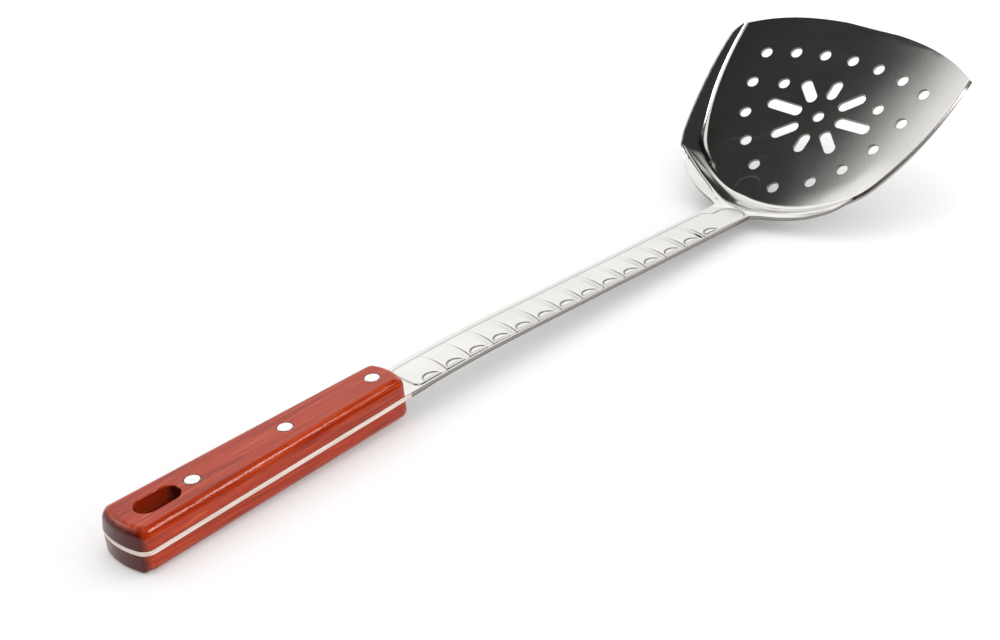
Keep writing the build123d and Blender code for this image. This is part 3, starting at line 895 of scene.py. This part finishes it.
def make_rivets(material):
    """Each rivet's socket with its barrel, and the pin inside it, both with a flush head."""
    seat = HALF_HANDLE - HEAD_THICKNESS
    head = [(0, HALF_HANDLE)] + [(HEAD_RADIUS - inset, HALF_HANDLE - drop) for inset, drop in HEAD_RIM]
    head.append((HEAD_RADIUS, seat))
    socket = head + [(BARREL_RADIUS, seat), (BARREL_RADIUS, -seat), (PIN_RADIUS, -seat), (PIN_RADIUS, seat),
                     (0, seat)]
    pin_radius, pin_end = PIN_RADIUS - PIN_GAP, PIN_END_GAP - seat
    pin = head + [(pin_radius, seat), (pin_radius, pin_end), (0, pin_end)]
    for name, x in RIVETS.items():
        lathe(f"{name}_socket_head", material, x, socket, f"{name}_rivet_socket", 1)
        lathe(f"{name}_pin_head", material, x, pin, f"{name}_rivet_pin", -1)


# Materials

def srgb(r, g, b):
    """A colour as it is seen, 0 to 255, as the linear value that a shader takes."""
    def one(c):
        c /= 255
        return c / 12.92 if c <= 0.04045 else ((c + 0.055) / 1.055) ** 2.4
    return one(r), one(g), one(b), 1.0


class Nodes:
    """A short way to write the nodes of a material or of the world."""

    def __init__(self, tree):
        self.tree = tree
        tree.nodes.clear()

    def fill(self, socket, value):
        """Links a node's output to a socket, or sets the socket's own value."""
        if isinstance(value, bpy.types.NodeSocket):
            self.tree.links.new(value, socket)
        else:
            socket.default_value = value

    def node(self, kind, inputs=None, **settings):
        made = self.tree.nodes.new("ShaderNode" + kind)
        for key, value in settings.items():
            setattr(made, key, value)
        for key, value in (inputs or {}).items():
            self.fill(made.inputs[key], value)
        return made

    def noise(self, scale, detail, rough, stretch=(1, 1, 1), distort=0.0):
        at = self.node("Mapping", {"Vector": self.node("TexCoord").outputs["Object"], "Scale": stretch})
        return self.node("TexNoise", {"Vector": at.outputs[0], "Scale": scale, "Detail": detail,
                                      "Roughness": rough, "Distortion": distort}).outputs[0]

    def ramp(self, value, stops):
        """A colour ramp through (place, colour) or (place, level of grey) pairs."""
        made = self.node("ValToRGB", {"Fac": value})
        elements = made.color_ramp.elements
        while len(elements) < len(stops):
            elements.new(0.5)
        for element, (at, colour) in zip(elements, stops):
            element.position = at
            element.color = (*colour[:3], 1) if isinstance(colour, tuple) else (colour, colour, colour, 1)
        return made.outputs[0]

    def spread(self, noise, low, high):
        """The middle of a noise's range, spread between two values."""
        return self.node("MapRange", {"Value": noise, "From Min": 0.3, "From Max": 0.7,
                                      "To Min": low, "To Max": high}).outputs[0]

    def math(self, kind, *values):
        return self.node("Math", dict(enumerate(values)), operation=kind).outputs[0]

    def mix(self, share, a, b, blend="MIX"):
        return self.node("Mix", {0: share, 6: a, 7: b}, data_type="RGBA", blend_type=blend).outputs[2]


class Finish(Nodes):
    """A material round one Principled shader."""

    def __init__(self, name):
        self.material = bpy.data.materials.new(name)
        self.material.use_nodes = True
        super().__init__(self.material.node_tree)
        self.shader = self.node("BsdfPrincipled")
        self.node("OutputMaterial", {"Surface": self.shader.outputs[0]})

    def set(self, **values):
        for key, value in values.items():
            self.fill(self.shader.inputs[key.replace("_", " ")], value)

    def bump(self, height, strength, distance):
        made = self.node("Bump", {"Height": height, "Strength": strength, "Distance": distance})
        self.set(Normal=made.outputs[0])


def steel():
    """Pressed steel: near mirror, with faint water marks, hair scratches, and dirt with painted shade in the
    pressed lines.
    """
    m = Finish("pressed_steel")
    fine = m.noise(900, 3, 0.6)
    patch = m.noise(60, 4, 0.6)
    colour = m.ramp(patch, [(0.3, srgb(216, 215, 211)), (0.7, srgb(224, 222, 218))])
    # Dirt and painted shade turn the steel towards dark grey along the pressed lines
    dark = m.node("Attribute", attribute_name="dirt_and_shade").outputs["Fac"]
    colour = m.mix(dark, colour, srgb(128, 124, 120))
    # Marks, most of them within 10 to 24 mm of the worn place: rings and specks
    place = m.node("TexCoord").outputs["Object"]
    near = m.node("VectorMath", {0: place, 1: TO_ROW @ Vector(WORN_AT)}, operation="DISTANCE")
    where = m.ramp(m.math("MULTIPLY", near.outputs["Value"], 10), [(0.10, 1), (0.24, 0.12)])
    rings = m.math("ABSOLUTE", m.math("SUBTRACT", m.noise(42, 0, 0.4), 0.5))
    rings = m.ramp(rings, [(0.0, 1), (0.007, 0)])
    specks = m.ramp(m.noise(420, 2, 0.5), [(0.64, 0), (0.72, 1)])
    marks = m.math("MULTIPLY", where, m.math("MAXIMUM", rings, specks))
    rough = m.math("ADD", m.spread(patch, 0.09, 0.11), m.math("MULTIPLY", marks, 0.13))
    m.set(Base_Color=colour, Metallic=1.0, Roughness=m.math("ADD", rough, m.math("MULTIPLY", dark, 0.2)))
    m.bump(fine, 0.02, 0.0002)
    return m.material


def cut_edge():
    """The sheet's sheared edge, left rougher and darker than its faces."""
    m = Finish("cut_edge")
    drawn = m.noise(1.0, 3, 0.6, (300, 300, 3000))
    colour = m.ramp(drawn, [(0.3, srgb(138, 135, 132)), (0.7, srgb(160, 157, 154))])
    m.set(Base_Color=colour, Metallic=1.0, Roughness=0.32)
    return m.material


def tang_edge_painted_reflection():
    """The tang's edge, ground flush with the wood: satin, with fine lines along it, and a warm pale colour
    that is a painted reflection of the red wood and the pale floor.
    """
    m = Finish("tang_edge_painted_reflection")
    lines = m.noise(1.0, 3, 0.6, (60, 900, 3600))
    # The warm pale tones are a painted reflection of the wood and the floor
    colour = m.ramp(lines, [(0.3, srgb(205, 184, 174)), (0.6, srgb(246, 230, 220))])
    m.set(Base_Color=colour, Metallic=0.35, Roughness=0.4)
    return m.material


def wood():
    """Lacquered red-brown wood, its grain along the handle and its end faces darker, partly by the end
    grain's own colour and partly by painted shade.
    """
    m = Finish("red_wood")
    grain = m.noise(1.0, 6, 0.62, (28, 800, 800), 0.6)
    fibre = m.noise(1.0, 3, 0.6, (90, 3200, 3200), 0.3)
    broad = m.noise(1.0, 3, 0.5, (9, 90, 90), 0.8)
    colour = m.ramp(grain, [(0.30, (0.21, 0.011, 0.003)), (0.44, (0.39, 0.031, 0.006)),
                            (0.56, (0.48, 0.044, 0.008)), (0.70, (0.62, 0.100, 0.026))])
    colour = m.mix(0.55, colour, m.ramp(broad, [(0.35, (0.66, 0.60, 0.60)), (0.65, 1.0)]), "MULTIPLY")
    pores = m.ramp(fibre, [(0.60, 1.0), (0.72, (0.52, 0.42, 0.40))])
    colour = m.mix(0.8, colour, pores, "MULTIPLY")
    # Where the cut crosses the fibres the wood is darker: partly the end grain's own colour, partly painted
    # shade on the end faces
    facing = m.node("SeparateXYZ", {0: m.node("TexCoord").outputs["Normal"]}).outputs[0]
    across = m.ramp(m.math("ABSOLUTE", facing), [(0.45, 0), (0.85, 1)])
    end = m.ramp(m.noise(1400, 3, 0.6), [(0.35, (0.050, 0.002, 0.001)), (0.65, (0.125, 0.007, 0.003))])
    m.set(Base_Color=m.mix(across, colour, end), Roughness=m.spread(grain, 0.07, 0.12),
          Specular_IOR_Level=0.32)
    m.bump(m.math("ADD", grain, m.math("MULTIPLY", fibre, 0.5)), 0.22, 0.0003)
    return m.material


def rivet():
    """Bright satin metal."""
    m = Finish("rivet_metal")
    fine = m.noise(2500, 2, 0.5)
    m.set(Base_Color=m.ramp(fine, [(0.3, srgb(234, 234, 234)), (0.7, srgb(246, 246, 246))]), Metallic=1.0,
          Roughness=0.3)
    m.bump(fine, 0.05, 0.0001)
    return m.material


# The studio

def make_floor():
    """A plain pale floor, raised towards white where the camera or the steel sees it."""
    mesh = bpy.data.meshes.new("floor")
    mesh.from_pydata([(-6, -6, 0), (6, -6, 0), (6, 6, 0), (-6, 6, 0)], [], [(0, 1, 2, 3)])
    floor = bpy.data.objects.new("floor", mesh)
    bpy.context.scene.collection.objects.link(floor)
    m = Finish("pale_floor")
    path = m.node("LightPath").outputs
    seen = m.math("MULTIPLY", path["Is Camera Ray"], 0.22)
    share = m.math("ADD", seen, m.math("MULTIPLY", path["Is Glossy Ray"], 0.28))
    m.set(Base_Color=(0.8, 0.8, 0.8, 1), Roughness=1.0, Specular_IOR_Level=0.0, Emission_Color=(1, 1, 1, 1),
          Emission_Strength=share)
    mesh.materials.append(m.material)


def direction(azimuth, elevation):
    a, e = radians(azimuth), radians(elevation)
    return Vector((cos(a) * cos(e), sin(a) * cos(e), sin(e)))


def make_world():
    """A plain fill for the diffuse light, a studio for the gloss to mirror, and white for the camera."""
    world = bpy.data.worlds.new("studio")
    bpy.context.scene.world = world
    world.use_nodes = True
    m = Nodes(world.node_tree)
    path = m.node("LightPath").outputs
    way = m.node("TexCoord").outputs["Generated"]
    up = m.node("SeparateXYZ", {0: way}).outputs[2]

    def facing(azimuth, elevation, stops):
        """A ramp over how straight a ray goes in a direction."""
        dot = m.node("VectorMath", {0: way, 1: direction(azimuth, elevation)}, operation="DOT_PRODUCT")
        return m.ramp(dot.outputs["Value"], stops)

    # The back wall is lit up to a height and towards one side, and a pale patch is straight overhead
    height = m.ramp(up, [(0.0, 0.60), (0.25, 0.64), (0.42, 0.92), (0.60, 1.0), (0.735, 0.84), (0.752, 0.48),
                         (0.768, 0.22), (0.786, 0.06), (0.80, 0.03)])
    wall = m.math("MULTIPLY", height, facing(75, 0, [(0.16, 0.03), (0.42, 1.0)]))
    lit = m.math("MAXIMUM", wall, m.ramp(up, [(0.950, 0.0), (0.975, 0.8)]))
    level = m.math("MULTIPLY_ADD", facing(116, 35, [(0.988, 0.0), (0.995, 1.0)]), 3.0, lit)
    # Little light comes from behind the butt
    fill = m.node("Background", {0: facing(180, 0, [(0.1, 1.0), (0.85, 0.4)]), 1: 1.06}).outputs[0]
    gloss = m.node("Background", {0: level, 1: 1.3}).outputs[0]
    white = m.node("Background", {0: (1, 1, 1, 1)}).outputs[0]
    seen = m.node("MixShader", {0: path["Is Glossy Ray"], 1: fill, 2: gloss}).outputs[0]
    seen = m.node("MixShader", {0: path["Is Camera Ray"], 1: seen, 2: white}).outputs[0]
    m.node("OutputWorld", {0: seen})


def add_lamp(data, back=None):
    """A lamp that shines away from a direction, or straight down."""
    lamp = bpy.data.objects.new(data.name, data)
    if back is not None:
        lamp.rotation_mode = "QUATERNION"
        lamp.rotation_quaternion = back.to_track_quat("Z", "Y")
    bpy.context.scene.collection.objects.link(lamp)
    return lamp


def make_lamps():
    """A broad key from the left, fills from ahead that reach under the scoop, and a softbox for the gloss."""
    for name, energy, spread, back in (("key", 0.25, 70, direction(90, 58)),
                                       ("front_fill", 0.3, 50, direction(-70, 24))):
        sun = bpy.data.lights.new(name, "SUN")
        sun.energy = energy
        sun.angle = radians(spread)
        add_lamp(sun, back).visible_glossy = False
    fill_place = Vector((0.50, -0.22, 0.11))
    for name, energy, size, place, back, lights_steel in (
            ("softbox", 4.2, (0.34, 0.27), (0.25, -0.42, 0.80), None, True),
            ("under_fill", 1.1, (0.30, 0.12), fill_place, fill_place - Vector((0.12, 0, 0)), False)):
        area = bpy.data.lights.new(name, "AREA")
        area.shape = "RECTANGLE"
        area.size, area.size_y = size
        area.energy = energy
        lamp = add_lamp(area, back)
        lamp.location = place
        lamp.visible_glossy = lights_steel
        lamp.visible_diffuse = not lights_steel


def make_camera():
    """The camera at the photograph's angle."""
    data = bpy.data.cameras.new("camera")
    data.sensor_width = 36.0
    data.lens = FOCAL_WIDTHS * data.sensor_width
    data.clip_start, data.clip_end = 0.01, 50.0
    camera = bpy.data.objects.new("camera", data)
    right, forward = Vector(CAMERA_RIGHT), Vector(CAMERA_FORWARD).normalized()
    up = right.cross(forward).normalized()
    right = forward.cross(up)
    axes = Matrix((right, up, -forward)).transposed().to_4x4()
    turn = TO_ROW.to_quaternion().to_matrix().to_4x4()
    camera.matrix_world = Matrix.Translation(TO_ROW @ Vector(CAMERA_PLACE)) @ turn @ axes
    bpy.context.scene.collection.objects.link(camera)
    bpy.context.scene.camera = camera


bpy.context.scene.view_settings.view_transform = "Standard"
make_camera()
make_world()
make_lamps()
make_floor()
wood_material = wood()
make_sheet(steel(), (cut_edge(), tang_edge_painted_reflection()))
make_scale("wood_upper_scale", wood_material, 1)
make_scale("wood_lower_scale", wood_material, -1)
make_rivets(rivet())
